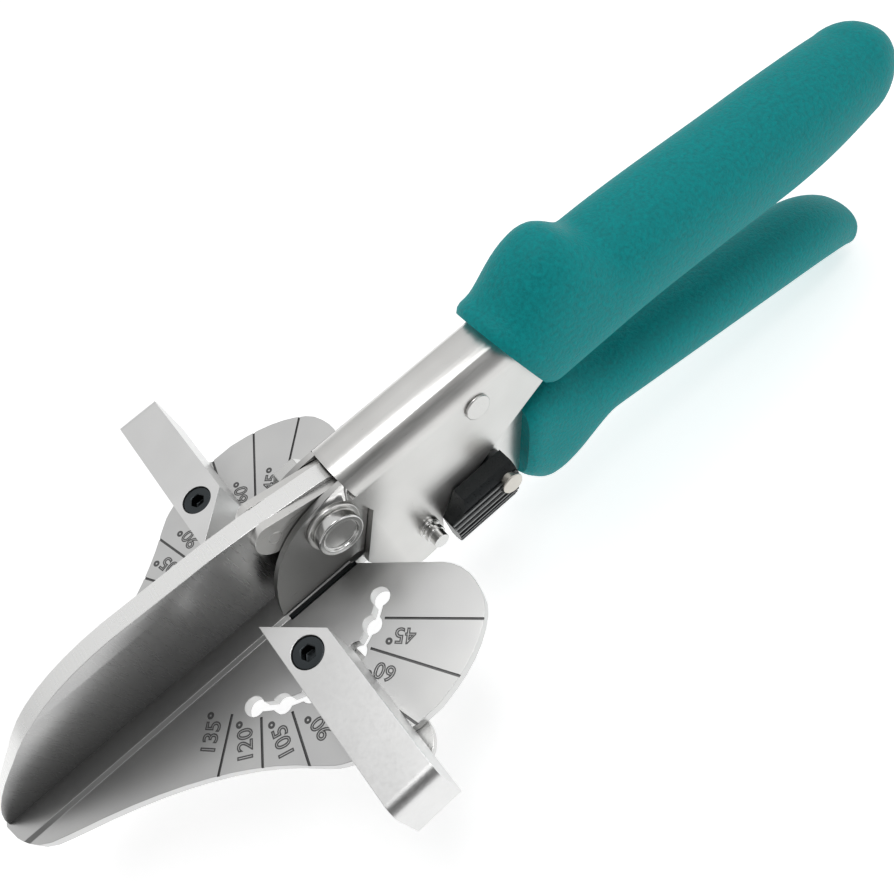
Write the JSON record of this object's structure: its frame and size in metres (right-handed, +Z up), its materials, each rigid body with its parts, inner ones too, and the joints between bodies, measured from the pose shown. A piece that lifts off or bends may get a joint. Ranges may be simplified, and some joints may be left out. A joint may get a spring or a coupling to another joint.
{
  "type": "multi-angle mitre shears",
  "caption": "Hand-held mitre shears with an angle table, two pivoting guide fences, a wedge blade, a thumb latch and soft teal grips.",
  "frame": {"origin": "on the table's upper face under the cutting edge, at the guide faces of the two fences set square", "axes": "+X along the tool from the nose to the handles, +Y to the far side, +Z up from the table"},
  "size_m": [0.2728, 0.1234, 0.0884],
  "materials": {
    "nickel": "satin",
    "table_steel": "satin",
    "blade_steel": "polished",
    "bright_steel": "polished",
    "spring_steel": "satin",
    "bronze": "satin",
    "grip_teal": "matte",
    "latch_black": "satin",
    "fence_satin": "satin",
    "black_oxide": "satin",
    "clamp_steel": "satin"
  },
  "bodies": {
    "frame": {"frame_channel": "nickel", "table": "table_steel", "main_bolt": "bright_steel", "head_washer": "bright_steel", "nut_washer": "bright_steel", "main_nut": "bright_steel", "mid_rivet": "bright_steel", "rivet_sleeve": "bright_steel", "return_spring": "spring_steel", "catch_pin": "bright_steel", "catch_clip": "bright_steel", "fence_pivot": "bright_steel", "pivot_ring": "spring_steel", "upper_grip": "grip_teal"},
    "lower_handle": {"blade": "blade_steel", "near_arm": "nickel", "far_arm": "nickel", "blade_rivets": "bright_steel", "pivot_bush": "bronze", "arm_spacer": "bright_steel", "lower_grip": "grip_teal", "latch_pin": "bright_steel", "latch_clip": "bright_steel"},
    "latch": {"latch": "latch_black"},
    "near_fence": {"near_fence_bar": "fence_satin", "near_fence_screw": "black_oxide", "near_clamp_arm": "clamp_steel"},
    "far_fence": {"far_fence_bar": "fence_satin", "far_fence_screw": "black_oxide", "far_clamp_arm": "clamp_steel"}
  },
  "joints": [
    {"name": "handle_hinge", "type": "hinge", "parent": "frame", "child": "lower_handle", "pos_m": [0.025, 0, 0.0165], "axis": [0, 1, 0], "range_deg": [0, 20]},
    {"name": "latch_hinge", "type": "hinge", "parent": "lower_handle", "child": "latch", "pos_m": [0.0625, 0, -0.005], "axis": [0, 1, 0], "range_deg": [-35, 0]},
    {"name": "near_fence_hinge", "type": "hinge", "parent": "frame", "child": "near_fence", "pos_m": [0.005, 0, 0], "axis": [0, 0, 1], "range_deg": [-45, 45]},
    {"name": "far_fence_hinge", "type": "hinge", "parent": "frame", "child": "far_fence", "pos_m": [0.005, 0, 0], "axis": [0, 0, 1], "range_deg": [-45, 45]}
  ]
}
